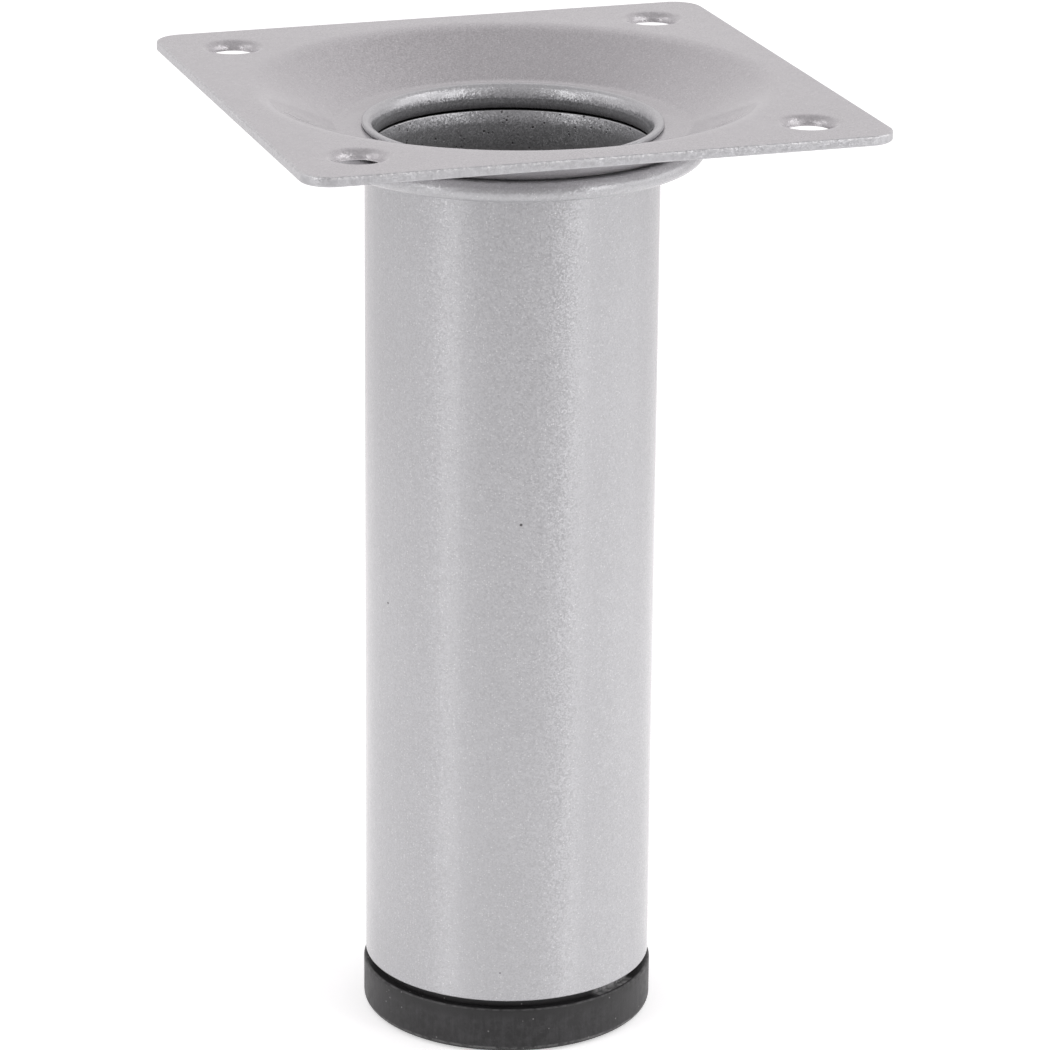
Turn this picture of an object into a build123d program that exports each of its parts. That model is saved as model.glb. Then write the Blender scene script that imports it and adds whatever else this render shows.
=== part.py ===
from build123d import *
import math
import os

# Round steel furniture leg with a dished square mounting plate and a plastic foot cap.
# All sizes are in millimetres. The leg stands on its foot at z = 0, with its axis on +Z.

# Whole leg
leg_height = 100.0

# Steel tube
tube_diameter = 30.0
tube_wall = 1.0

# Closed collar under the plate, upset from the tube's own wall
collar_overhang = 4.6
rim_bulge = 0.6
fold_gap = 0.1
fold_mouth_chamfer = 0.5

# Neck above the collar, flared outwards over the dish's floor
lip_flare = 0.35
lip_flare_height = 0.9
lip_stand = 0.55
lip_edge_chamfer = 0.2

# Pressed mounting plate
plate_side = 60.0
plate_corner_radius = 3.0
sheet_thickness = 1.0
sheet_edge_chamfer = 0.2

# Round dish drawn down in the plate
dish_depth = 4.2
dish_seat_width = 2.9
dish_slope_run = 7.9
dish_mouth_bend = 5.0
neck_clearance = 0.05
neck_hole_chamfer = 0.3

# Countersunk screw holes in the plate's corners
hole_spacing = 46.0
hole_diameter = 4.5
countersink_diameter = 5.9
countersink_angle = 90.0

# Plastic foot cap: flange under the tube, step for the tube's end, hollow plug inside
flange_height = 4.95
flange_overhang = 0.2
flange_foot_chamfer = 0.7
step_height = 0.8
step_inset = 0.8
plug_length = 14.0
plug_wall = 1.6
plug_body_clearance = 0.45
plug_floor = 3.0

# Upright crush ribs round the plug
rib_count = 12
rib_width = 1.2
rib_clearance = 0.05
rib_top_drop = 1.6

# Sizes closer than this count as equal when edges are picked
tolerance = 0.001

# Radii that follow
tube_radius = tube_diameter / 2
bore_radius = tube_radius - tube_wall
collar_radius = tube_radius + collar_overhang
rim_start_radius = collar_radius - rim_bulge
fold_end_radius = collar_radius - tube_wall
lip_radius = tube_radius + lip_flare
neck_hole_radius = tube_radius + neck_clearance
dish_floor_radius = neck_hole_radius + dish_seat_width
dish_mouth_radius = dish_floor_radius + dish_slope_run
dish_slope = math.atan2(dish_depth, dish_slope_run)
flange_radius = tube_radius + flange_overhang
step_radius = tube_radius - step_inset
plug_radius = bore_radius - plug_body_clearance
plug_bore_radius = plug_radius - plug_wall
rib_radius = bore_radius - rib_clearance

# Heights that follow
tube_end_z = flange_height + step_height
plug_top_z = tube_end_z + plug_length
dish_floor_z = leg_height - dish_depth
collar_top_z = dish_floor_z - sheet_thickness
collar_height = 2 * tube_wall + fold_gap
collar_bottom_z = collar_top_z - collar_height
collar_middle_z = collar_top_z - collar_height / 2
fold_top_z = collar_middle_z + fold_gap / 2
fold_bottom_z = collar_middle_z - fold_gap / 2
lip_top_z = dish_floor_z + lip_stand
lip_start_z = lip_top_z - lip_flare_height


def turned(section):
    """Solid of revolution about the leg's axis from a half section drawn as (r, z)."""
    return revolve(Plane.XZ * section, axis=Axis.Z)


def corner(section, r, z):
    """Vertex of a half section that lies at (r, z)."""
    place = Vector(r, z)
    return min(section.vertices(), key=lambda vertex: (vertex.center() - place).length)


def bevelled(section, corners):
    """Half section with the listed corners cut off at 45 degrees: each entry is (r, z, size)."""
    for r, z, size in corners:
        section = chamfer(corner(section, r, z), size)
    return section


def sheet_line(blank_radius, drop):
    """Corners of the dished sheet at a depth of drop in it, from the blank's edge to the hole."""
    shift = drop * math.tan(dish_slope / 2)
    return [
        (blank_radius, leg_height - drop),
        (dish_mouth_radius + shift, leg_height - drop),
        (dish_floor_radius + shift, dish_floor_z - drop),
        (neck_hole_radius, dish_floor_z - drop),
    ]


def dished_blank(blank_radius):
    """Round blank of sheet steel with the dish drawn into it and the neck hole pierced."""
    upper = sheet_line(blank_radius, 0)
    lower = sheet_line(blank_radius, sheet_thickness)
    section = make_face(Polyline(*upper, *reversed(lower), close=True).edges())
    section = fillet(corner(section, *upper[1]), dish_mouth_bend)
    section = fillet(corner(section, *lower[1]), dish_mouth_bend - sheet_thickness)
    hole_edge = [(neck_hole_radius, dish_floor_z, neck_hole_chamfer)]
    return turned(bevelled(section, hole_edge))


def is_outline(edge):
    """True for the level edges along the plate's square outline."""
    middle = edge.position_at(0.5)
    reach = max(abs(middle.X), abs(middle.Y))
    level = edge.bounding_box().size.Z < tolerance
    return level and reach > plate_side / 2 - plate_corner_radius / 2


def screw_hole():
    """Cutter of one countersunk hole, with its rim at z = 0."""
    shank = Cylinder(hole_diameter / 2, 4 * sheet_thickness)
    cone_depth = countersink_diameter / 2 / math.tan(math.radians(countersink_angle / 2))
    sink = Pos(0, 0, -cone_depth / 2) * Cone(0, countersink_diameter / 2, cone_depth)
    return shank + sink


def mounting_plate():
    """Square plate cut from the dished blank, edges eased, with four countersunk holes."""
    outline = RectangleRounded(plate_side, plate_side, plate_corner_radius)
    block = Pos(0, 0, collar_bottom_z) * extrude(outline, leg_height - collar_bottom_z)
    plate = dished_blank(plate_side) & block
    plate = chamfer(plate.edges().filter_by(is_outline), sheet_edge_chamfer)
    places = Pos(0, 0, leg_height) * GridLocations(hole_spacing, hole_spacing, 2, 2)
    return plate - [place * screw_hole() for place in places]


def tube_outside():
    """Outer line of the wall: leg, collar with its pressed round rim, neck and flared lip."""
    leg = Polyline(
        (bore_radius, tube_end_z),
        (tube_radius, tube_end_z),
        (tube_radius, collar_bottom_z),
        (rim_start_radius, collar_bottom_z),
    )
    rim = ThreePointArc(
        (rim_start_radius, collar_bottom_z),
        (collar_radius, collar_middle_z),
        (rim_start_radius, collar_top_z),
    )
    neck = Polyline(
        (rim_start_radius, collar_top_z),
        (tube_radius, collar_top_z),
        (tube_radius, lip_start_z),
        (lip_radius, lip_top_z),
        (lip_radius - tube_wall, lip_top_z),
    )
    return [*leg.edges(), rim.edge(), *neck.edges()]


def tube_inside():
    """Inner line of the wall: flare, neck, the closed fold inside the collar, and the bore."""
    line = Polyline(
        (lip_radius - tube_wall, lip_top_z),
        (bore_radius, lip_start_z),
        (bore_radius, fold_top_z),
        (fold_end_radius, fold_top_z),
        (fold_end_radius, fold_bottom_z),
        (bore_radius, fold_bottom_z),
        (bore_radius, tube_end_z),
    )
    return line.edges()


def leg_tube():
    """Tube in one piece, with the upset collar and the flared lip that clamp the plate."""
    section = make_face([*tube_outside(), *tube_inside()])
    corners = [
        (lip_radius, lip_top_z, lip_edge_chamfer),
        (lip_radius - tube_wall, lip_top_z, lip_edge_chamfer),
        (bore_radius, fold_top_z, fold_mouth_chamfer),
        (bore_radius, fold_bottom_z, fold_mouth_chamfer),
    ]
    return turned(bevelled(section, corners))


def cap_body():
    """Flange, step and hollow plug of the foot cap, without its ribs."""
    outline = Polyline(
        (0, 0),
        (flange_radius, 0),
        (flange_radius, flange_height),
        (step_radius, flange_height),
        (step_radius, tube_end_z),
        (plug_radius, tube_end_z),
        (plug_radius, plug_top_z),
        (plug_bore_radius, plug_top_z),
        (plug_bore_radius, plug_floor),
        (0, plug_floor),
        close=True,
    )
    foot_edge = [(flange_radius, 0, flange_foot_chamfer)]
    return turned(bevelled(make_face(outline.edges()), foot_edge))


def crush_ribs():
    """Upright ribs that fill the bore, tapered at their tops so that the plug starts easily."""
    root_radius = plug_radius - plug_wall / 2
    rib_top_z = plug_top_z - rib_top_drop
    middle = Pos(bore_radius, 0, tube_end_z + plug_length / 2)
    bar = middle * Box(2 * (bore_radius - root_radius), rib_width, plug_length)
    bars = Part() + [place * bar for place in PolarLocations(0, rib_count)]
    envelope = Polyline(
        (root_radius, tube_end_z),
        (rib_radius, tube_end_z),
        (rib_radius, rib_top_z),
        (root_radius, rib_top_z + rib_radius - root_radius),
        close=True,
    )
    return turned(make_face(envelope.edges())) & bars


def foot_cap():
    """Moulded foot cap in one piece."""
    return cap_body() + crush_ribs()


def main():
    """Write one STEP file for each piece of the leg."""
    os.makedirs("parts", exist_ok=True)
    pieces = {
        "mounting_plate": mounting_plate(),
        "leg_tube": leg_tube(),
        "foot_cap": foot_cap(),
    }
    for name, piece in pieces.items():
        export_step(piece, f"parts/{name}.step")


main()
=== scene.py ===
import math

import bmesh
import bpy
from bpy.props import FloatProperty, FloatVectorProperty, IntProperty, PointerProperty
from mathutils import Matrix, Vector
from mathutils.geometry import delaunay_2d_cdt


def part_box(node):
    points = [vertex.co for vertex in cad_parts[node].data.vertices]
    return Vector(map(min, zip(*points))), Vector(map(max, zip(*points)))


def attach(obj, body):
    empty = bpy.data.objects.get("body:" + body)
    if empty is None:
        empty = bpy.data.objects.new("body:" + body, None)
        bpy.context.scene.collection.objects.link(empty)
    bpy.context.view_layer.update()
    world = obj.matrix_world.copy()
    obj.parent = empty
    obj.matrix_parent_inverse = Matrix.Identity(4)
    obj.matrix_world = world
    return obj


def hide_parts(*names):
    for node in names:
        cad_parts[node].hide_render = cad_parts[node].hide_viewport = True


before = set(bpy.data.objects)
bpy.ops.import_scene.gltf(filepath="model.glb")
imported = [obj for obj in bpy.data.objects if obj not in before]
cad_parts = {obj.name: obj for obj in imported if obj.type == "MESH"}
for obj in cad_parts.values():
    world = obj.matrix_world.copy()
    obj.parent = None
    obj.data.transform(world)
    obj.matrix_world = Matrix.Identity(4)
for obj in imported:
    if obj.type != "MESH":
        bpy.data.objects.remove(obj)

bl_info = {
    "name": "Steel Furniture Leg",
    "version": (1, 0, 0),
    "blender": (4, 5, 0),
    "location": "3D View > Sidebar > Leg",
    "description": "Round steel furniture leg with a dished screw plate and a plastic foot cap",
    "category": "Add Mesh",
}

MM = 0.001
MICRON = 0.001 * MM

# Lowest and highest corners of the solids that the pieces stand for
PLATE_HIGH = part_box("mounting_plate")[1]
TUBE_LOW, TUBE_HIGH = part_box("leg_tube")
CAP_LOW, CAP_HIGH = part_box("foot_cap")
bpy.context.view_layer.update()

# Dark pinholes in the tube's coat: place and radius
PINHOLES = (
    ((-3.59 * MM, -14.56 * MM, 58.14 * MM), 0.2 * MM),
    ((-14.42 * MM, -4.12 * MM, 47.34 * MM), 0.17 * MM),
    ((-5.3 * MM, -14.03 * MM, 9.02 * MM), 0.1 * MM),
)

# Lights round the leg, with lengths in metres: name, (bearing, elevation) in degrees with
# bearing 0 in front of the plate, height of the point that the light faces, (width, height)
# of the light and share of the studio's glow
LIGHTS = (
    ("left_strip", (-66, 0), 0.46, (0.2, 0.9), 1.1),
    ("left_fill", (-110, 0), 0.46, (0.5, 0.9), 0.1),
    ("right_strip", (35, 0), 0.46, (0.22, 0.9), 1.1),
    ("right_fill", (76, 0), 0.46, (0.6, 0.9), 0.42),
    ("left_softbox", (-118, 46), 0.1, (0.3, 0.3), 0.52),
    ("right_softbox", (82, 46), 0.1, (0.3, 0.3), 0.58),
)

# Opaque white, and the width of the camera's sensor in millimetres
WHITE = (1, 1, 1, 1)
SENSOR_WIDTH = 36

# Facets of the meshes
AROUND = 256
AROUND_HOLE = 64
ARC_STEP = math.radians(9)
CORNER_STEPS = 14
FLOOR_STEPS = 96
SAME_POINT = 0.2e-6
SHARP_ANGLE = math.radians(32)


# Sizes and colours


def size(name, description, default_mm):
    """A length that a user can change, given in millimetres."""
    return FloatProperty(
        name=name, description=description, default=default_mm * MM, unit="LENGTH", precision=5
    )


def colour(name, description, default):
    """A linear colour that a user can change."""
    return FloatVectorProperty(
        name=name, description=description, default=default, subtype="COLOR", min=0, max=1
    )


def share(name, description, default):
    """A number from 0 to 1 that a user can change."""
    return FloatProperty(
        name=name, description=description, default=default, subtype="FACTOR", min=0, max=1
    )


def amount(name, description, default):
    """A plain number that a user can change."""
    return FloatProperty(name=name, description=description, default=default, min=0)


def rotation(name, description, degrees):
    """An angle that a user can change, given in degrees."""
    return FloatProperty(
        name=name, description=description, default=math.radians(degrees), subtype="ANGLE"
    )


class LegPlateSizes(bpy.types.PropertyGroup):
    corner_radius: size("Corner radius", "Rounding of the plate's four corners", 3.0)
    thickness: size("Sheet thickness", "Gauge of the pressed sheet", 1.0)
    edge_rounding: size("Edge rounding", "Rounding of the sheet's painted edges", 0.2)
    dish_depth: size("Dish depth", "Drop from the plate's face to the dish's floor", 4.2)
    dish_floor: size("Dish floor radius", "Radius at which the slope meets the floor", 17.95)
    dish_mouth: size("Dish mouth radius", "Radius at which the slope meets the face", 25.85)
    mouth_bend: size("Mouth bend", "Radius of the sheet's bend at the dish's mouth", 5.0)
    floor_bend: size("Floor bend", "Radius of the sheet's bend at the dish's floor", 1.8)
    neck_hole: size("Neck hole radius", "Radius of the hole that the tube's neck fills", 15.05)
    neck_hole_rounding: size("Neck hole rounding", "Rounding of the neck hole's upper edge", 0.32)
    hole_spacing: size("Hole spacing", "Distance between two screw holes", 46.0)
    hole_radius: size("Hole radius", "Radius of a screw hole", 2.25)
    sink_radius: size("Countersink radius", "Radius of a countersink at the plate's face", 2.95)
    sink_depth: size("Countersink depth", "Depth of a countersink", 0.55)
    sink_rounding: size("Countersink rounding", "Rounding of the painted countersink rim", 1.2)
    throat_rounding: size("Throat rounding", "Rounding where a countersink meets the wall", 0.8)
    hole_rounding: size("Hole rounding", "Rounding of a screw hole's lower edge", 0.1)


class LegTubeSizes(bpy.types.PropertyGroup):
    radius: size("Tube radius", "Outer radius of the leg", 15.0)
    wall: size("Tube wall", "Wall thickness", 1.0)
    end_rounding: size("End rounding", "Rounding of the tube's lower end", 0.22)
    collar_top: size("Collar top", "Height of the collar's upper face, under the plate", 94.8)
    collar_height: size("Collar height", "Thickness of the closed collar", 2.1)
    collar_root: size("Collar root", "Rounding between the leg and the collar's underside", 0.35)
    fold_gap: size("Fold gap", "Gap inside the closed fold of the collar", 0.16)
    mouth_depth: size("Fold mouth depth", "Spread of the fold's rounded mouth over the bore", 0.24)
    mouth_upper: size("Upper fold mouth", "Height of the mouth on the neck's side", 0.6)
    mouth_lower: size("Lower fold mouth", "Height of the mouth on the bore's side", 1.2)
    mouth_bend: size("Mouth bend", "Bend of the wall where it turns into the fold", 3.0)
    mouth_edge: size("Mouth edge", "Rounding of the wall at the fold itself", 0.2)
    lip_flare: size("Lip flare", "How far the neck's lip spreads over the dish's floor", 0.48)
    lip_height: size("Lip height", "Height of the flared stretch of the neck", 0.9)
    lip_outside: size("Lip outer rounding", "Rounding of the lip's outer edge", 0.25)
    lip_inside: size("Lip inner rounding", "Rounding of the lip's inner edge", 0.8)
    lip_bend: size("Lip bend", "Bend at which the flare starts", 2.0)


class LegCapSizes(bpy.types.PropertyGroup):
    flange_height: size("Flange height", "Height of the cap's outer band", 4.95)
    foot_rounding: size("Foot rounding", "Rounding of the band's lower edge", 0.85)
    band_rounding: size("Band rounding", "Rounding of the band's upper edge", 0.28)
    step_radius: size("Step radius", "Radius of the step under the tube's end", 14.2)
    plug_radius: size("Plug radius", "Outer radius of the plug between its ribs", 13.55)
    plug_wall: size("Plug wall", "Wall of the hollow plug", 1.6)
    plug_floor: size("Plug floor", "Height of the floor inside the plug", 3.0)
    plug_rounding: size("Plug rounding", "Rounding at the foot of the plug's hollow", 0.8)
    rib_radius: size("Rib radius", "Radius over the crush ribs", 13.95)
    rib_width: size("Rib width", "Width of a crush rib", 1.2)
    rib_drop: size("Rib drop", "Distance of the ribs' tapered tops from the plug's top", 1.6)
    rib_count: IntProperty(name="Ribs", description="Crush ribs round the plug", default=12, min=3)


class LegCoatFinish(bpy.types.PropertyGroup):
    # The plate and the tube wear one powder coat. These two colours are lit and shaded copies of
    # it, the plate's lighter and pinker and the tube's darker: a painted difference in light.
    plate: colour("Plate coat", "Silver-grey of the plate's powder coat", (0.549, 0.533, 0.549))
    tube: colour("Tube coat", "Silver-grey of the tube's powder coat", (0.52, 0.522, 0.536))
    # Colour of the dark specks, and also of the painted shade on the neck's inner wall above the
    # fold
    speck_and_shade: colour("Specks", "Dark specks in the coat", (0.10, 0.095, 0.10))
    bore: colour("Bare bore", "Thinly coated steel inside the tube", (0.34, 0.34, 0.345))
    metallic: share("Metallic", "Share of metal flake in the coat", 0.6)
    roughness: share("Roughness", "Roughness of the flake layer", 0.33)
    gloss: share("Gloss", "Weight of the clear skin over the flakes", 1.0)
    gloss_roughness: share("Gloss roughness", "Roughness of the clear skin", 0.08)
    flake_tilt: share("Flake tilt", "How far the flakes lean out of the surface", 0.24)
    flake_size: size("Flake size", "Distance between two flakes", 0.13)
    peel_size: size("Peel size", "Distance between two waves of the orange peel", 1.6)
    skin_grain: size("Skin grain", "Size of the fine grain in the clear skin", 0.35)
    cloud_size: size("Cloud size", "Distance between two faint clouds of colour", 14.0)
    glint_size: size("Glint size", "Distance between two places for a bright flake", 0.2)
    speck_spacing: size("Speck spacing", "Distance between two places for a rare speck", 9.0)
    # Colour of the uncoated steel on the sheared edge, which also serves as painted glints there
    bare_edge_and_glint: colour("Bare edge", "Bright steel along the sheared edge", (0.82, 0.815, 0.82))
    edge_lumps: size("Edge lumps", "Size of the lumps along the sheared edge", 0.7)
    bare_and_glint_patches: size("Bare patches", "Size of the bare patches along the sheared edge", 0.4)
    # Colour of the painted shade in the collar's fold
    crevice_shade: colour("Crevice", "Dark inside of the collar's fold", (0.02, 0.02, 0.02))
    bore_grit: size("Bore grit", "Size of the grit in the bore", 0.3)
    bore_pits: size("Bore pits", "Distance between two places for a pit in the bore", 0.5)
    pit_patches: size("Pit patches", "Size of the pitted patches in the bore", 2.4)


class LegPlasticFinish(bpy.types.PropertyGroup):
    base: colour("Plastic", "Black of the moulded plastic", (0.013, 0.0125, 0.013))
    mottle: colour("Mottle", "Greyer patches in the plastic", (0.047, 0.046, 0.048))
    # Colour of the painted highlights along the band's edges
    edge_highlight: colour("Wear", "Grey of the scuffed edges", (0.14, 0.14, 0.14))
    # Colour of the painted highlight on the step under the tube's end
    step_highlight: colour("Smear", "Pale smear on the step under the tube", (0.3, 0.3, 0.3))
    dust: colour("Dust", "Pale specks of dust", (0.4, 0.39, 0.39))
    roughness: share("Roughness", "Roughness of the moulded face", 0.44)
    grain_size: size("Grain size", "Size of the fine moulded grain", 0.22)
    patch_size: size("Patch size", "Size of the mottled patches", 1.1)
    streak_size: size("Streak size", "Width of the upright streaks", 0.4)
    breakup_size: size("Scuff size", "Length of the scuffs along the edges", 0.8)
    dust_spacing: size("Dust spacing", "Distance between two places for a speck of dust", 0.9)
    step_highlight_bearing: rotation("Smear bearing", "Place of the smear, 0 in front of the plate", 33)


class LegStudio(bpy.types.PropertyGroup):
    floor: colour("Floor", "Pale floor", (0.90, 0.90, 0.90))
    light: colour("Light", "Colour of the light from all round", (1.0, 0.972, 0.99))
    horizon: amount("Horizon", "Light from the horizon, where 1 is white", 0.745)
    overhead: share("Overhead", "Share of that light that comes from overhead", 0.62)
    front: share("Front", "Share of that light that comes from behind the camera", 0.55)
    strip_glow: amount("Strip glow", "Radiance of a strip light, where 1 is white", 1.7)
    light_distance: size("Light distance", "Distance of the lights from the leg's axis", 750.0)
    floor_radius: size("Floor radius", "Reach of the round floor", 4000.0)
    floor_gap: size("Floor gap", "Gap between the foot and the floor", 0.1)
    floor_glow: amount("Floor glow", "Light that the camera sees on the floor besides", 0.5)
    polish: colour("Polish", "Strength of the floor's mirror image", (0.2, 0.2, 0.2))
    polish_roughness: share("Polish roughness", "Roughness of that mirror image", 0.04)
    pool_glow: amount("Pool glow", "Light that reflections show on the floor near the leg", 0.2)
    pool_start: size("Pool start", "Distance from the axis at which that light falls off", 120.0)
    pool_end: size("Pool end", "Distance from the axis at which that light ends", 260.0)
    focal_length: amount("Focal length", "Lens on a 36 mm sensor, in millimetres", 173.38)
    camera_place: FloatVectorProperty(
        name="Camera", description="Place of the camera", default=(-0.15437, -0.47119, 0.22323),
        subtype="TRANSLATION", unit="LENGTH",
    )
    heading: rotation("Heading", "Turn of the camera about the upright axis", -18.321)
    pitch: rotation("Pitch", "How far the camera looks down", 18.947)
    roll: rotation("Roll", "Turn of the camera about its own line of sight", 0.498)


class LegSettings(bpy.types.PropertyGroup):
    plate: PointerProperty(type=LegPlateSizes)
    tube: PointerProperty(type=LegTubeSizes)
    cap: PointerProperty(type=LegCapSizes)
    coat: PointerProperty(type=LegCoatFinish)
    plastic: PointerProperty(type=LegPlasticFinish)
    studio: PointerProperty(type=LegStudio)


# Lines and turned surfaces


def rounded_corner(before, corner, after, radius):
    """Points of the arc that rounds one corner of a line."""
    back = (before - corner).normalized()
    onward = (after - corner).normalized()
    half = back.angle(onward) / 2
    centre = corner + (back + onward).normalized() * (radius / math.sin(half))
    reach = radius / math.tan(half)
    start = corner + back * reach - centre
    end = corner + onward * reach - centre
    turn = -start.angle_signed(end)
    steps = max(2, math.ceil(abs(turn) / ARC_STEP))
    return [centre + Matrix.Rotation(turn * k / steps, 2) @ start for k in range(steps + 1)]


def rounded_line(corners, closed=False):
    """Line of (radius, height) points through corners given as (radius, height, rounding)."""
    places = [Vector(corner[:2]) for corner in corners]
    line = []
    for k, (*_, rounding) in enumerate(corners):
        is_end = not closed and k in (0, len(corners) - 1)
        if rounding == 0 or is_end:
            line.append(places[k])
            continue
        after = places[(k + 1) % len(places)]
        line += rounded_corner(places[k - 1], places[k], after, rounding)
    return line


def ring_angles(steps):
    """Angles of evenly spaced points round a full turn."""
    return [2 * math.pi * k / steps for k in range(steps)]


def bridge(bm, lower, upper):
    """Faces between two rings of vertices, either of which may be a single point."""
    count = max(len(lower), len(upper))
    for k in range(count):
        following = (k + 1) % count
        around = [lower[k % len(lower)], lower[following % len(lower)]]
        around += [upper[following % len(upper)], upper[k % len(upper)]]
        bm.faces.new(list(dict.fromkeys(around)))


def add_rings(bm, rings, closed=False):
    """Surface through rings of points, given from one end to the other."""
    made = [[bm.verts.new(point) for point in ring] for ring in rings]
    for lower, upper in zip(made, made[1:]):
        bridge(bm, lower, upper)
    if closed:
        bridge(bm, made[-1], made[0])


def turned_ring(radius, height, steps, centre=(0, 0)):
    """Level ring of points about an upright axis, or its one point on the axis."""
    if radius < SAME_POINT:
        return [(*centre, height)]
    return [
        (centre[0] + radius * math.cos(angle), centre[1] + radius * math.sin(angle), height)
        for angle in ring_angles(steps)
    ]


def flat_ring(radius, steps, centre=(0, 0)):
    """Points of a ring in the plan view."""
    return [Vector(point[:2]) for point in turned_ring(radius, 0, steps, centre)]


def add_turned(bm, line, steps, centre=(0, 0), closed=False):
    """Surface that a line of (radius, height) points sweeps about an upright axis."""
    add_rings(bm, [turned_ring(point.x, point.y, steps, centre) for point in line], closed)


def finish_piece(bm, name, material, node):
    """Turn the built surface into a smooth piece that stands for a solid of the frame."""
    bmesh.ops.remove_doubles(bm, verts=bm.verts, dist=SAME_POINT)
    bmesh.ops.recalc_face_normals(bm, faces=bm.faces)
    mesh = bpy.data.meshes.new(name)
    bm.to_mesh(mesh)
    bm.free()
    mesh.shade_smooth()
    mesh.set_sharp_from_angle(angle=SHARP_ANGLE)
    mesh.materials.append(material)
    piece = bpy.data.objects.new(name, mesh)
    bpy.context.scene.collection.objects.link(piece)
    weighted = piece.modifiers.new("Even shading", "WEIGHTED_NORMAL")
    weighted.keep_sharp = True
    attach(piece, "root")
    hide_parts(node)


# Mounting plate


def plate_outline(inset, corner_radius):
    """Points round the plate's square outline, moved inwards by inset."""
    half = PLATE_HIGH.x - corner_radius
    points = []
    for quarter in range(4):
        turn = Matrix.Rotation(math.pi / 2 * quarter, 2)
        for k in range(CORNER_STEPS + 1):
            angle = math.pi / 2 * k / CORNER_STEPS
            outward = Vector((math.cos(angle), math.sin(angle)))
            points.append(turn @ (Vector((half, half)) + outward * (corner_radius - inset)))
    return points


def hole_centres(spacing):
    """Centres of the four screw holes in the plan view."""
    return [Vector((x, y)) * spacing / 2 for x in (-1, 1) for y in (-1, 1)]


def sheet_line(plate, drop, reach):
    """Line of the dished sheet from its flat margin to the neck hole, drop below its face."""
    run = plate.dish_mouth - plate.dish_floor
    shift = drop * math.tan(math.atan2(plate.dish_depth, run) / 2)
    face = PLATE_HIGH.z - drop
    floor = face - plate.dish_depth
    return rounded_line([
        (reach, face, 0),
        (plate.dish_mouth + shift, face, plate.mouth_bend - drop),
        (plate.dish_floor + shift, floor, plate.floor_bend),
        (plate.neck_hole, floor, 0),
    ])


def margin_reach(plate):
    """Radius round the dish at which the sheet is flat again."""
    return plate.dish_mouth + plate.mouth_bend / 2


def sink_reach(plate):
    """Radius round a screw hole at which the plate's face is flat."""
    return plate.sink_radius + plate.sink_rounding / 2


def add_dish(bm, plate):
    """Upper face, neck hole wall and underside of the round dish."""
    reach = margin_reach(plate)
    upper = sheet_line(plate, 0, reach)
    lower = sheet_line(plate, plate.thickness, reach)
    floor = PLATE_HIGH.z - plate.dish_depth
    wall = rounded_line([
        (plate.dish_floor, floor, 0),
        (plate.neck_hole, floor, plate.neck_hole_rounding),
        (plate.neck_hole, floor - plate.thickness, 0),
    ])
    add_turned(bm, upper[:-1] + wall[1:-1] + lower[::-1], AROUND)


def add_outline_edge(bm, plate):
    """Rounded edge band along the plate's square outline."""
    edge = plate.edge_rounding
    top, bottom = PLATE_HIGH.z, PLATE_HIGH.z - plate.thickness
    line = rounded_line([(edge, top, 0), (0, top, edge), (0, bottom, edge), (edge, bottom, 0)])
    rings = [
        [(point.x, point.y, step.y) for point in plate_outline(step.x, plate.corner_radius)]
        for step in line
    ]
    add_rings(bm, rings)


def add_screw_hole(bm, plate, centre):
    """Countersink, wall and lower edge of one screw hole."""
    top, bottom = PLATE_HIGH.z, PLATE_HIGH.z - plate.thickness
    rim, wall, soft = plate.sink_radius, plate.hole_radius, plate.hole_rounding
    line = rounded_line([
        (sink_reach(plate), top, 0),
        (rim, top, plate.sink_rounding),
        (wall, top - plate.sink_depth, plate.throat_rounding),
        (wall, bottom, soft),
        (wall + soft, bottom, 0),
    ])
    add_turned(bm, line, AROUND_HOLE, centre)


def add_margin(bm, plate, height):
    """Flat margin between the outline, the dish and the screw holes."""
    reach = margin_reach(plate)
    hole_reach = plate.hole_radius + plate.hole_rounding
    if height == PLATE_HIGH.z:
        hole_reach = sink_reach(plate)
    centres = hole_centres(plate.hole_spacing)
    loops = [plate_outline(plate.edge_rounding, plate.corner_radius), flat_ring(reach, AROUND)]
    loops += [flat_ring(hole_reach, AROUND_HOLE, centre) for centre in centres]
    points, edges = [], []
    for loop in loops:
        first = len(points)
        points += loop
        edges += [(first + k, first + (k + 1) % len(loop)) for k in range(len(loop))]
    places, _, triangles, *_ = delaunay_2d_cdt(points, edges, [], 0, SAME_POINT)
    made = [bm.verts.new((place.x, place.y, height)) for place in places]
    for triangle in triangles:
        middle = sum((places[k] for k in triangle), Vector((0, 0))) / 3
        in_hole = any((middle - centre).length < hole_reach for centre in centres)
        if middle.length > reach and not in_hole:
            bm.faces.new([made[k] for k in triangle])
    loose = [vertex for vertex in made if not vertex.link_faces]
    bmesh.ops.delete(bm, geom=loose, context="VERTS")


# Leg tube


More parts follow.
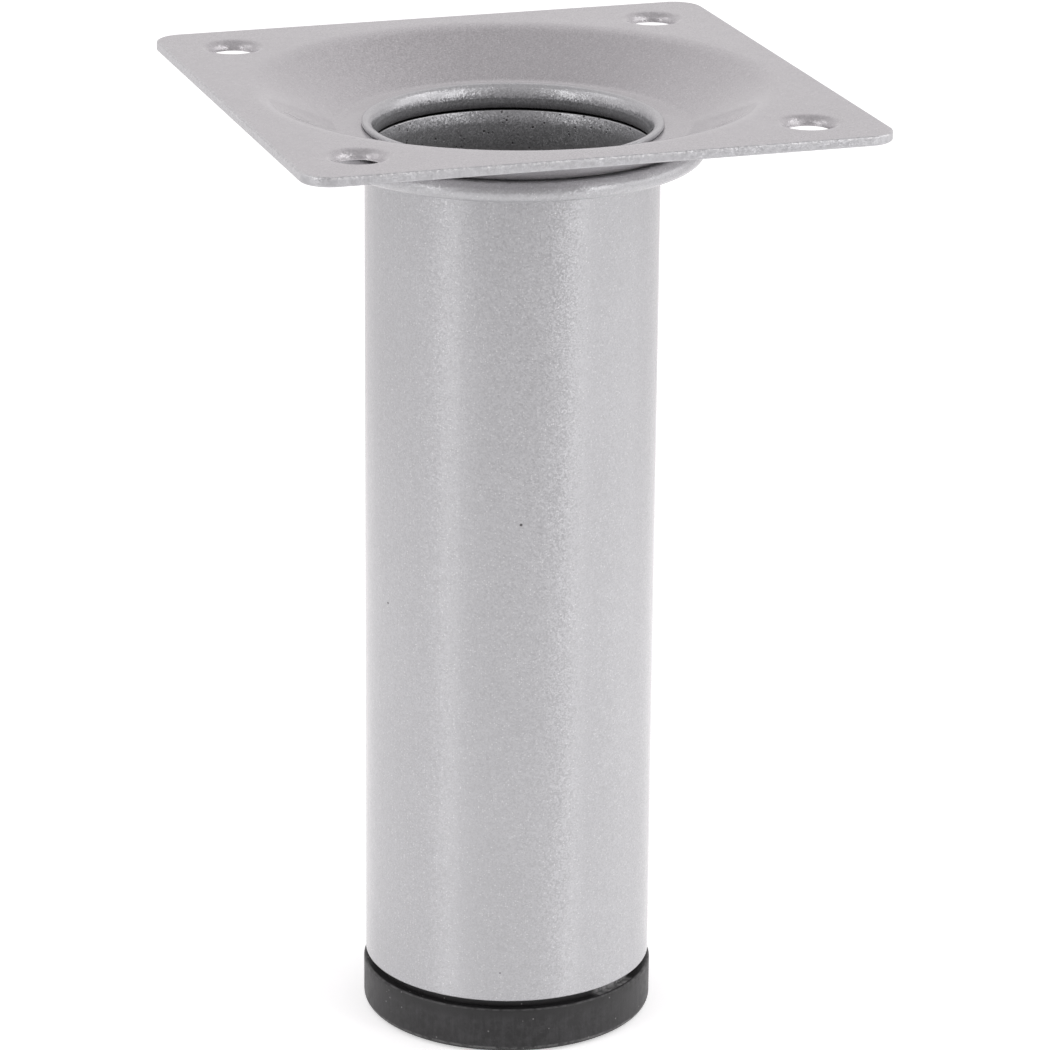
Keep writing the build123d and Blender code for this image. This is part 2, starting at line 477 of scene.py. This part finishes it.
def tube_line(tube):
    """Closed section of the tube's wall, from its lower end up to the lip and back down."""
    bore = tube.radius - tube.wall
    collar = TUBE_HIGH.x
    rim = tube.collar_height / 2
    # A hair less than half the collar, so that the rim's two arcs don't meet in one point
    rim_rounding = rim * 0.999
    collar_bottom = tube.collar_top - tube.collar_height
    lip_top = TUBE_HIGH.z
    lip_start = lip_top - tube.lip_height
    lip = tube.radius + tube.lip_flare
    fold_top = tube.collar_top - rim + tube.fold_gap / 2
    fold_bottom = fold_top - tube.fold_gap
    fold_end = collar - tube.wall
    return rounded_line([
        (bore, TUBE_LOW.z, tube.end_rounding),
        (tube.radius, TUBE_LOW.z, tube.end_rounding),
        (tube.radius, collar_bottom, tube.collar_root),
        (collar, collar_bottom, rim_rounding),
        (collar, tube.collar_top, rim_rounding),
        (tube.radius, tube.collar_top, 0),
        (tube.radius, lip_start, tube.lip_bend / 2),
        (lip, lip_top, tube.lip_outside),
        (lip - tube.wall, lip_top, tube.lip_inside),
        (bore, lip_start, tube.lip_bend),
        (bore, fold_top + tube.mouth_upper, tube.mouth_bend),
        (bore + tube.mouth_depth, fold_top, tube.mouth_edge),
        (fold_end, fold_top, 0),
        (fold_end, fold_bottom, 0),
        (bore + tube.mouth_depth, fold_bottom, tube.mouth_edge),
        (bore, fold_bottom - tube.mouth_lower, tube.mouth_bend),
    ], closed=True)


# Foot cap


def plug_ring(cap, height, over_ribs):
    """Ring round the plug, whose crush ribs reach out to over_ribs."""
    half = cap.rib_width / 2
    root = math.asin(half / cap.plug_radius)
    gap = 2 * math.pi / cap.rib_count - 2 * root
    steps = AROUND // cap.rib_count
    section = [Vector((math.sqrt(over_ribs ** 2 - side ** 2), side)) for side in (-half, 0, half)]
    for k in range(steps + 1):
        angle = root + gap * k / steps
        section.append(Vector((math.cos(angle), math.sin(angle))) * cap.plug_radius)
    points = []
    for rib in range(cap.rib_count):
        turn = Matrix.Rotation(2 * math.pi * rib / cap.rib_count, 2)
        points += [(*(turn @ point), height) for point in section]
    return points


def add_plug(bm, cap, bottom):
    """Ribbed outside of the plug, from the top of the step up."""
    rib_top = CAP_HIGH.z - cap.rib_drop
    taper_top = rib_top + cap.rib_radius - cap.plug_radius
    levels = (
        (bottom, cap.rib_radius),
        (rib_top, cap.rib_radius),
        (taper_top, cap.plug_radius),
        (CAP_HIGH.z, cap.plug_radius),
    )
    add_rings(bm, [plug_ring(cap, height, over_ribs) for height, over_ribs in levels])


def close_ring(bm, height):
    """Flat ring of faces between the open edges that lie at one height."""
    open_edges = [
        edge for edge in bm.edges
        if len(edge.link_faces) == 1
        and all(abs(vertex.co.z - height) < SAME_POINT for vertex in edge.verts)
    ]
    bmesh.ops.bridge_loops(bm, edges=open_edges)


# Nodes of the finishes


def add_node(tree, kind, inputs=None, **settings):
    """A shader node with its settings; an input takes a value or another node's output."""
    node = tree.nodes.new(kind)
    for name, value in settings.items():
        setattr(node, name, value)
    for name, value in (inputs or {}).items():
        if isinstance(value, bpy.types.NodeSocket):
            tree.links.new(value, node.inputs[name])
        else:
            node.inputs[name].default_value = value
    return node


def number(tree, operation, first, second=0.0):
    """Output of one sum on numbers."""
    inputs = {0: first, 1: second}
    return add_node(tree, "ShaderNodeMath", inputs, operation=operation).outputs[0]


def product(tree, *factors):
    """Output of masks and numbers multiplied."""
    result = factors[0]
    for factor in factors[1:]:
        result = number(tree, "MULTIPLY", result, factor)
    return result


def direction(tree, operation, first, second=(0, 0, 0)):
    """Output of one sum on vectors."""
    node = add_node(tree, "ShaderNodeVectorMath", {0: first, 1: second}, operation=operation)
    return node.outputs["Value" if operation in ("LENGTH", "DOT_PRODUCT") else "Vector"]


def between(tree, value, low, high, to_low=0.0, to_high=1.0):
    """Output that goes smoothly from to_low to to_high as value goes from low to high."""
    inputs = {
        "Value": value, "From Min": low, "From Max": high, "To Min": to_low, "To Max": to_high,
    }
    return add_node(tree, "ShaderNodeMapRange", inputs, interpolation_type="SMOOTHSTEP").outputs[0]


def blend(tree, factor, first, second):
    """Colour that goes from first to second."""
    node = add_node(tree, "ShaderNodeMix", data_type="RGBA")
    for index, value in ((0, factor), (6, first), (7, second)):
        if isinstance(value, bpy.types.NodeSocket):
            tree.links.new(value, node.inputs[index])
        else:
            node.inputs[index].default_value = value
    return node.outputs[2]


def levelled(tree, tint, level):
    """Colour whose brightness is multiplied by level."""
    inputs = {"Color": (*tint, 1), "Value": level}
    return add_node(tree, "ShaderNodeHueSaturation", inputs).outputs[0]


def across(tree, place):
    """Distance of a place from the leg's axis."""
    return direction(tree, "LENGTH", direction(tree, "MULTIPLY", place, (1, 1, 0)))


def upright(tree, place):
    """Height of a place over the leg's foot."""
    return add_node(tree, "ShaderNodeSeparateXYZ", {0: place}).outputs["Z"]


def noise(tree, place, grain, detail=2.0, roughness=0.5):
    """Soft noise whose waves are grain metres long."""
    inputs = {"Vector": place, "Scale": 1 / grain, "Detail": detail, "Roughness": roughness}
    return add_node(tree, "ShaderNodeTexNoise", inputs).outputs["Fac"]


def cells(tree, place, grain):
    """Random cells grain metres wide: their colour, and the distance from their middle."""
    node = add_node(tree, "ShaderNodeTexVoronoi", {"Vector": place, "Scale": 1 / grain})
    return node.outputs["Color"], node.outputs["Distance"]


def red_of(tree, tint):
    """Red channel of a colour."""
    return add_node(tree, "ShaderNodeSeparateColor", {"Color": tint}).outputs[0]


def specks(tree, place, grain, rarity, reach):
    """1 in round specks, which all cells but a share of rarity have, reach of a cell in radius."""
    tint, away = cells(tree, place, grain)
    chosen = number(tree, "GREATER_THAN", red_of(tree, tint), rarity)
    return product(tree, chosen, between(tree, away, reach, reach * 0.6))


def bumps(tree, height, distance, normal=None):
    """Normal of a surface that height pushes out by up to distance metres."""
    inputs = {"Height": height, "Distance": distance, "Strength": 1.0}
    if normal:
        inputs["Normal"] = normal
    return add_node(tree, "ShaderNodeBump", inputs).outputs["Normal"]


# Finishes


def new_finish(name):
    """A material with its node tree, its main shader and the place on the object."""
    material = bpy.data.materials.new(name)
    material.use_nodes = True
    tree = material.node_tree
    tree.nodes.clear()
    shader = add_node(tree, "ShaderNodeBsdfPrincipled")
    output = add_node(tree, "ShaderNodeOutputMaterial")
    tree.links.new(shader.outputs[0], output.inputs["Surface"])
    place = add_node(tree, "ShaderNodeTexCoord").outputs["Object"]
    return material, tree, shader, place


def sheared_edge(tree, place, tint, skin):
    """Colour and skin of the plate's coat, thin along the sheared edge, with glints painted on its
    top.
    """
    settings = bpy.context.scene.furniture_leg
    plate, coat = settings.plate, settings.coat
    corner = PLATE_HIGH.x - plate.corner_radius
    # Places folded into one quarter of the plate and counted from the middle of its rounding
    folded = direction(tree, "SUBTRACT", direction(tree, "ABSOLUTE", place), (corner, corner, 1))
    reach = direction(tree, "LENGTH", direction(tree, "MAXIMUM", folded, (0, 0, 0)))
    edge = between(tree, reach, plate.corner_radius - 0.32 * MM, plate.corner_radius - 0.12 * MM)

    lumps = noise(tree, place, coat.edge_lumps, 3, 0.6)
    lumpy = levelled(tree, coat.tube, between(tree, lumps, 0.35, 0.65, 0.96, 1.1))
    tint = blend(tree, edge, tint, lumpy)
    skin = bumps(tree, product(tree, lumps, edge), 3 * MICRON, skin)

    # Uncoated steel in patches on the edge's upper rounding, near white, so that they are also
    # painted glints.
    top = PLATE_HIGH.z
    brim = between(tree, upright(tree, place), top - 0.36 * MM, top - 0.14 * MM)
    patchy = noise(tree, place, coat.bare_and_glint_patches, 3, 0.7)
    patchy = between(tree, patchy, 0.46, 0.62, 0.1, 0.65)
    bare_and_glint = product(tree, brim, edge, patchy)
    skin = bumps(tree, product(tree, patchy, bare_and_glint), 10 * MICRON, skin)
    return blend(tree, bare_and_glint, tint, (*coat.bare_edge_and_glint, 1)), skin


def thin_bore_and_fold_shade(tree, place, tint, skin):
    """Colour and skin of the tube's coat: thin in the bore, with painted shade above the fold and
    in it.
    """
    settings = bpy.context.scene.furniture_leg
    tube, coat = settings.tube, settings.coat
    reach, height = across(tree, place), upright(tree, place)
    bore = tube.radius - tube.wall
    fold = tube.collar_top - tube.collar_height / 2
    inner = between(tree, reach, bore + 0.6 * MM, bore + 0.4 * MM)

    deep = product(tree, inner, between(tree, height, fold - 0.6 * MM, fold - 4.6 * MM))
    tint = blend(tree, deep, tint, (*coat.bore, 1))
    # Painted shade: the neck's inner wall darkens towards the fold over the 0.9 mm above it.
    above = product(tree, inner, number(tree, "GREATER_THAN", height, fold))
    shade = between(tree, height, fold + 0.9 * MM, fold + 0.1 * MM, 0, 0.6)
    tint = blend(tree, product(tree, above, shade), tint, (*coat.speck_and_shade, 1))
    # Painted shade in the fold itself: a near-black band within 0.2 mm of the fold's middle, on
    # the bore's side.
    aside = number(tree, "ABSOLUTE", number(tree, "SUBTRACT", height, fold))
    inside = between(tree, reach, bore + 2 * tube.wall, bore + tube.wall)
    crevice_shade = product(tree, between(tree, aside, 0.2 * MM, 0.09 * MM), inside)
    tint = blend(tree, crevice_shade, tint, (*coat.crevice_shade, 1))

    below = product(tree, inner, between(tree, height, fold, fold - 0.2 * MM))
    grit = noise(tree, place, coat.bore_grit, 3, 0.6)
    skin = bumps(tree, product(tree, grit, below), 11 * MICRON, skin)
    patches = between(tree, noise(tree, place, coat.pit_patches), 0.45, 0.58)
    pits = product(tree, specks(tree, place, coat.bore_pits, 0.45, 0.3), patches, below)
    tint = blend(tree, pits, tint, (*coat.speck_and_shade, 1))
    return tint, bumps(tree, pits, -30 * MICRON, skin)


def tube_marks_and_shade(tree, place, tint, skin):
    """Colour and skin of the tube's coat, with its thin bore, painted shade at the fold and few
    dark pinholes.
    """
    tint, skin = thin_bore_and_fold_shade(tree, place, tint, skin)
    speck_and_shade = bpy.context.scene.furniture_leg.coat.speck_and_shade
    for spot, radius in PINHOLES:
        away = direction(tree, "LENGTH", direction(tree, "SUBTRACT", place, spot))
        tint = blend(tree, between(tree, away, radius, radius / 2), tint, (*speck_and_shade, 1))
    return tint, skin


def silver_coat(name, base, rework):
    """Silver-grey powder coat: metal flakes, painted glints, faint clouds, orange peel and rare
    dark specks.

    rework changes its colour and skin where the piece's own coat is thin, and paints shade and
    glints.
    """
    coat = bpy.context.scene.furniture_leg.coat
    material, tree, shader, place = new_finish(name)

    flake, _ = cells(tree, place, coat.flake_size)
    cloud = between(tree, noise(tree, place, coat.cloud_size, 3), 0.3, 0.7, 0.985, 1.015)
    level = product(tree, between(tree, red_of(tree, flake), 0, 1, 0.925, 1.075), cloud)
    tint = levelled(tree, base, level)
    # Painted glints: a few cells of the flakes whitened in the colour.
    glints = product(tree, specks(tree, place, coat.glint_size, 0.86, 0.42), 0.32)
    tint = blend(tree, glints, tint, WHITE)
    rare_specks = specks(tree, place, coat.speck_spacing, 0.95, 0.016)
    tint = blend(tree, rare_specks, tint, (*coat.speck_and_shade, 1))

    peel = noise(tree, place, coat.peel_size, 2)
    skin = bumps(tree, peel, 4 * MICRON)
    skin = bumps(tree, noise(tree, place, coat.skin_grain, 3, 0.6), 0.8 * MICRON, skin)
    tint, skin = rework(tree, place, tint, skin)
    tree.links.new(tint, shader.inputs["Base Color"])
    tree.links.new(skin, shader.inputs["Coat Normal"])

    lean = direction(tree, "SUBTRACT", flake, (0.5, 0.5, 0.5))
    lean = direction(tree, "MULTIPLY", lean, (coat.flake_tilt,) * 3)
    flakes = direction(tree, "NORMALIZE", direction(tree, "ADD", skin, lean))
    tree.links.new(flakes, shader.inputs["Normal"])

    roughness = between(tree, peel, 0.3, 0.7, coat.roughness - 0.03, coat.roughness + 0.03)
    tree.links.new(roughness, shader.inputs["Roughness"])
    shader.inputs["Metallic"].default_value = coat.metallic
    shader.inputs["Coat Weight"].default_value = coat.gloss
    shader.inputs["Coat Roughness"].default_value = coat.gloss_roughness
    return material


def moulded_patches(tree, place, plastic):
    """0 to 1 in mottled patches, with upright streaks across them."""
    patches = noise(tree, place, plastic.patch_size, 6, 0.75)
    patches = between(tree, patches, 0.4, 0.64)
    flattened = direction(tree, "MULTIPLY", place, (1, 1, 0.12))
    streaks = noise(tree, flattened, plastic.streak_size, 3, 0.6)
    streaks = between(tree, streaks, 0.45, 0.65)
    return number(tree, "ADD", product(tree, patches, 0.65), product(tree, streaks, 0.35))


def highlight_ring(tree, reach, height, ring, width):
    """1 in a thin ring of painted highlight round the cap, given by its (radius, height), and 0
    elsewhere.
    """
    sideways = number(tree, "SUBTRACT", reach, ring[0])
    upwards = number(tree, "SUBTRACT", height, ring[1])
    sideways, upwards = product(tree, sideways, sideways), product(tree, upwards, upwards)
    away = number(tree, "SQRT", number(tree, "ADD", sideways, upwards))
    return between(tree, away, width, width * 0.4)


def edge_highlights(tree, reach, height, cap):
    """1 in the painted highlight on the band's foot, less on its upper edge, and 0 elsewhere."""
    foot_ring = (CAP_HIGH.x - 0.06 * MM, 0.55 * MM)
    brim_ring = (CAP_HIGH.x - 0.08 * MM, cap.flange_height - 0.08 * MM)
    foot = highlight_ring(tree, reach, height, foot_ring, 0.22 * MM)
    brim = highlight_ring(tree, reach, height, brim_ring, 0.16 * MM)
    return number(tree, "MAXIMUM", foot, product(tree, brim, 0.45))


def step_highlight_mask(tree, place, reach, height, settings):
    """1 in the short arc of painted highlight on the step under the tube, and 0 elsewhere."""
    bearing = settings.plastic.step_highlight_bearing
    step, top = settings.cap.step_radius, settings.cap.flange_height
    onward = direction(tree, "NORMALIZE", direction(tree, "MULTIPLY", place, (1, 1, 0)))
    middle = (math.sin(bearing), -math.cos(bearing), 0)
    toward = direction(tree, "DOT_PRODUCT", onward, middle)
    return product(
        tree,
        between(tree, toward, 0.975, 0.99),
        between(tree, reach, step + 0.75 * MM, step + 0.6 * MM),
        between(tree, height, top - 0.1 * MM, top),
    )


def black_plastic():
    """Black moulded plastic: mottled patches, drawn streaks, specks of dust, painted shade and
    highlights.
    """
    settings = bpy.context.scene.furniture_leg
    plastic, cap = settings.plastic, settings.cap
    material, tree, shader, place = new_finish("black_moulded_plastic")
    reach, height = across(tree, place), upright(tree, place)

    patches = moulded_patches(tree, place, plastic)
    tint = blend(tree, patches, (*plastic.base, 1), (*plastic.mottle, 1))
    # Painted shade: the band darkens towards its upper edge, under the tube's end.
    top = cap.flange_height
    shade = between(tree, height, top - 1.5 * MM, top - 0.3 * MM, 0, 0.8)
    tint = blend(tree, shade, tint, (*plastic.base, 1))

    # Painted highlights along the band's foot and upper edge, broken up by noise.
    breakup = between(tree, noise(tree, place, plastic.breakup_size, 4, 0.6), 0.35, 0.65)
    edge_shine = product(tree, edge_highlights(tree, reach, height, cap), breakup)
    tint = blend(tree, edge_shine, tint, (*plastic.edge_highlight, 1))
    # Painted highlight: a pale short arc on the step under the tube's end, broken up by noise.
    step_highlight = step_highlight_mask(tree, place, reach, height, settings)
    step_highlight = product(tree, step_highlight, between(tree, breakup, 0.2, 0.8, 0.4, 1))
    tint = blend(tree, step_highlight, tint, (*plastic.step_highlight, 1))
    dust = product(tree, specks(tree, place, plastic.dust_spacing, 0.6, 0.12), 0.45)
    tint = blend(tree, dust, tint, (*plastic.dust, 1))
    tree.links.new(tint, shader.inputs["Base Color"])

    skin = bumps(tree, noise(tree, place, plastic.grain_size, 4, 0.65), 8 * MICRON)
    tree.links.new(bumps(tree, patches, 6 * MICRON, skin), shader.inputs["Normal"])
    roughness = between(tree, patches, 0, 1, plastic.roughness - 0.06, plastic.roughness + 0.1)
    tree.links.new(roughness, shader.inputs["Roughness"])
    return material


# Studio


def mix_shaders(tree, factor, first, second):
    """Shader that goes from first to second."""
    inputs = {0: factor, 1: first, 2: second}
    return add_node(tree, "ShaderNodeMixShader", inputs).outputs[0]


def add_shaders(tree, first, second):
    """Shader that gives off the light of both."""
    return add_node(tree, "ShaderNodeAddShader", {0: first, 1: second}).outputs[0]


def white_glow(tree, strength):
    """Shader that gives off white light."""
    inputs = {"Color": WHITE, "Strength": strength}
    return add_node(tree, "ShaderNodeEmission", inputs).outputs[0]


def pale_floor(studio):
    """Pale finish: white to the camera, glossy with a painted pool of light in reflections, clear
    from below.
    """
    material = bpy.data.materials.new("pale_floor")
    material.use_nodes = True
    tree = material.node_tree
    tree.nodes.clear()
    plain = add_node(tree, "ShaderNodeBsdfDiffuse", {"Color": (*studio.floor, 1)}).outputs[0]
    seen = add_shaders(tree, plain, white_glow(tree, studio.floor_glow))

    polish = {"Color": (*studio.polish, 1), "Roughness": studio.polish_roughness}
    mirror = add_node(tree, "ShaderNodeBsdfGlossy", polish).outputs[0]
    away = direction(tree, "LENGTH", add_node(tree, "ShaderNodeTexCoord").outputs["Object"])
    # Painted glow: in reflections only, the floor gives off a pool of light near the leg that
    # fades out.
    pool = between(tree, away, studio.pool_start, studio.pool_end, studio.pool_glow, 0)
    glossy_with_glow = add_shaders(tree, add_shaders(tree, plain, mirror), white_glow(tree, pool))

    rays = add_node(tree, "ShaderNodeLightPath").outputs
    shown = mix_shaders(tree, rays["Is Camera Ray"], plain, seen)
    shown = mix_shaders(tree, rays["Is Glossy Ray"], shown, glossy_with_glow)
    below = add_node(tree, "ShaderNodeNewGeometry").outputs["Backfacing"]
    clear = add_node(tree, "ShaderNodeBsdfTransparent").outputs[0]
    output = add_node(tree, "ShaderNodeOutputMaterial")
    tree.links.new(mix_shaders(tree, below, shown, clear), output.inputs["Surface"])
    return material


def lay_floor(studio):
    """Wide floor just under the foot, which keeps the leg's shadow."""
    mesh = bpy.data.meshes.new("floor")
    bm = bmesh.new()
    bmesh.ops.create_circle(bm, cap_ends=True, segments=FLOOR_STEPS, radius=studio.floor_radius)
    bm.to_mesh(mesh)
    bm.free()
    mesh.materials.append(pale_floor(studio))
    floor = bpy.data.objects.new("floor", mesh)
    floor.location.z = -studio.floor_gap
    bpy.context.scene.collection.objects.link(floor)


def light_world(studio):
    """Soft light from all round, white behind the leg, dimmer overhead and behind the camera."""
    world = bpy.data.worlds.new("soft_studio")
    bpy.context.scene.world = world
    world.use_nodes = True
    tree = world.node_tree
    tree.nodes.clear()
    way = add_node(tree, "ShaderNodeTexCoord").outputs["Generated"]
    up = direction(tree, "DOT_PRODUCT", way, (0, 0, 1))
    front = (math.sin(studio.heading), -math.cos(studio.heading), 0)
    ahead = direction(tree, "DOT_PRODUCT", way, front)
    strength = product(
        tree,
        between(tree, up, 0.6, 0.95, studio.horizon, studio.horizon * studio.overhead),
        between(tree, ahead, 0.6, 0.8, 1, studio.front),
    )
    soft = {"Color": (*studio.light, 1), "Strength": strength}
    light = add_node(tree, "ShaderNodeBackground", soft).outputs[0]
    white = add_node(tree, "ShaderNodeBackground", {"Color": WHITE, "Strength": 1}).outputs[0]
    rays = add_node(tree, "ShaderNodeLightPath").outputs
    output = add_node(tree, "ShaderNodeOutputWorld")
    seen = mix_shaders(tree, rays["Is Camera Ray"], light, white)
    tree.links.new(seen, output.inputs["Surface"])


def hang_light(studio, name, place, height, extent, glow):
    """Flat light that faces the leg's axis; its values are those of one row of LIGHTS."""
    light = bpy.data.lights.new(name, "AREA")
    light.shape = "RECTANGLE"
    light.size, light.size_y = extent
    light.energy = studio.strip_glow * glow * math.pi * light.size * light.size_y
    lamp = bpy.data.objects.new(name, light)
    bearing, elevation = map(math.radians, place)
    level = math.cos(elevation)
    away = Vector((math.sin(bearing) * level, -math.cos(bearing) * level, math.sin(elevation)))
    lamp.location = away * studio.light_distance + Vector((0, 0, height))
    lamp.rotation_euler = away.to_track_quat("Z", "Y").to_euler()
    bpy.context.scene.collection.objects.link(lamp)


def place_camera(studio):
    """Camera at the photograph's viewing angle."""
    lens = bpy.data.cameras.new("camera")
    lens.lens = studio.focal_length
    lens.sensor_width = SENSOR_WIDTH
    lens.clip_start = 0.01
    camera = bpy.data.objects.new("camera", lens)
    camera.location = studio.camera_place
    heading = Matrix.Rotation(studio.heading, 3, "Z")
    pitch = Matrix.Rotation(math.pi / 2 - studio.pitch, 3, "X")
    roll = Matrix.Rotation(studio.roll, 3, "Z")
    camera.rotation_euler = (heading @ pitch @ roll).to_euler()
    bpy.context.scene.collection.objects.link(camera)
    bpy.context.scene.camera = camera


# Operators


class LEG_OT_mounting_plate(bpy.types.Operator):
    """Build the pressed square plate with its dish, neck hole and screw holes"""

    bl_idname = "leg.mounting_plate"
    bl_label = "Mounting Plate"

    def execute(self, context):
        plate = context.scene.furniture_leg.plate
        bm = bmesh.new()
        add_dish(bm, plate)
        add_outline_edge(bm, plate)
        for centre in hole_centres(plate.hole_spacing):
            add_screw_hole(bm, plate, centre)
        for height in (PLATE_HIGH.z, PLATE_HIGH.z - plate.thickness):
            add_margin(bm, plate, height)
        coat = silver_coat("plate_coat", context.scene.furniture_leg.coat.plate, sheared_edge)
        finish_piece(bm, "pressed_plate", coat, "mounting_plate")
        return {"FINISHED"}


class LEG_OT_leg_tube(bpy.types.Operator):
    """Build the tube with its upset collar, neck and flared lip"""

    bl_idname = "leg.leg_tube"
    bl_label = "Leg Tube"

    def execute(self, context):
        bm = bmesh.new()
        add_turned(bm, tube_line(context.scene.furniture_leg.tube), AROUND, closed=True)
        coat = silver_coat("tube_coat", context.scene.furniture_leg.coat.tube, tube_marks_and_shade)
        finish_piece(bm, "collared_tube", coat, "leg_tube")
        return {"FINISHED"}


class LEG_OT_foot_cap(bpy.types.Operator):
    """Build the plastic foot cap with its band, step and ribbed plug"""

    bl_idname = "leg.foot_cap"
    bl_label = "Foot Cap"

    def execute(self, context):
        cap = context.scene.furniture_leg.cap
        bm = bmesh.new()
        band = CAP_HIGH.x
        step_top = TUBE_LOW.z
        hollow = cap.plug_radius - cap.plug_wall
        add_turned(bm, rounded_line([
            (0, CAP_LOW.z, 0),
            (band, CAP_LOW.z, cap.foot_rounding),
            (band, cap.flange_height, cap.band_rounding),
            (cap.step_radius, cap.flange_height, 0),
            (cap.step_radius, step_top, 0),
        ]), AROUND)
        add_plug(bm, cap, step_top)
        add_turned(bm, rounded_line([
            (hollow, CAP_HIGH.z, 0),
            (hollow, cap.plug_floor, cap.plug_rounding),
            (0, cap.plug_floor, 0),
        ]), AROUND)
        bmesh.ops.remove_doubles(bm, verts=bm.verts, dist=SAME_POINT)
        for height in (step_top, CAP_HIGH.z):
            close_ring(bm, height)
        finish_piece(bm, "plastic_cap", black_plastic(), "foot_cap")
        return {"FINISHED"}


class LEG_OT_studio(bpy.types.Operator):
    """Set the pale floor, the soft light and the camera"""

    bl_idname = "leg.studio"
    bl_label = "Studio"

    def execute(self, context):
        studio = context.scene.furniture_leg.studio
        lay_floor(studio)
        light_world(studio)
        for light in LIGHTS:
            hang_light(studio, *light)
        place_camera(studio)
        context.scene.view_settings.view_transform = "Standard"
        return {"FINISHED"}


# Panel and registration


class LEG_PT_panel(bpy.types.Panel):
    """Operators and settings of the furniture leg"""

    bl_label = "Furniture Leg"
    bl_idname = "LEG_PT_panel"
    bl_space_type = "VIEW_3D"
    bl_region_type = "UI"
    bl_category = "Leg"

    def draw(self, context):
        settings = context.scene.furniture_leg
        for operator in OPERATORS:
            self.layout.operator(operator.bl_idname)
        groups = (settings.plate, settings.tube, settings.cap)
        groups += (settings.coat, settings.plastic, settings.studio)
        for group in groups:
            box = self.layout.box()
            for name in group.bl_rna.properties.keys():
                if name not in ("rna_type", "name"):
                    box.prop(group, name)


OPERATORS = (LEG_OT_mounting_plate, LEG_OT_leg_tube, LEG_OT_foot_cap, LEG_OT_studio)
SIZE_GROUPS = (LegPlateSizes, LegTubeSizes, LegCapSizes)
LOOK_GROUPS = (LegCoatFinish, LegPlasticFinish, LegStudio)
CLASSES = (*SIZE_GROUPS, *LOOK_GROUPS, LegSettings, *OPERATORS, LEG_PT_panel)


def register():
    for kind in CLASSES:
        bpy.utils.register_class(kind)
    bpy.types.Scene.furniture_leg = PointerProperty(type=LegSettings)


def unregister():
    del bpy.types.Scene.furniture_leg
    for kind in reversed(CLASSES):
        bpy.utils.unregister_class(kind)


def main():
    """Register the classes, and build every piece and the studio."""
    register()
    bpy.ops.leg.mounting_plate()
    bpy.ops.leg.leg_tube()
    bpy.ops.leg.foot_cap()
    bpy.ops.leg.studio()


if __name__ == "__main__":
    main()
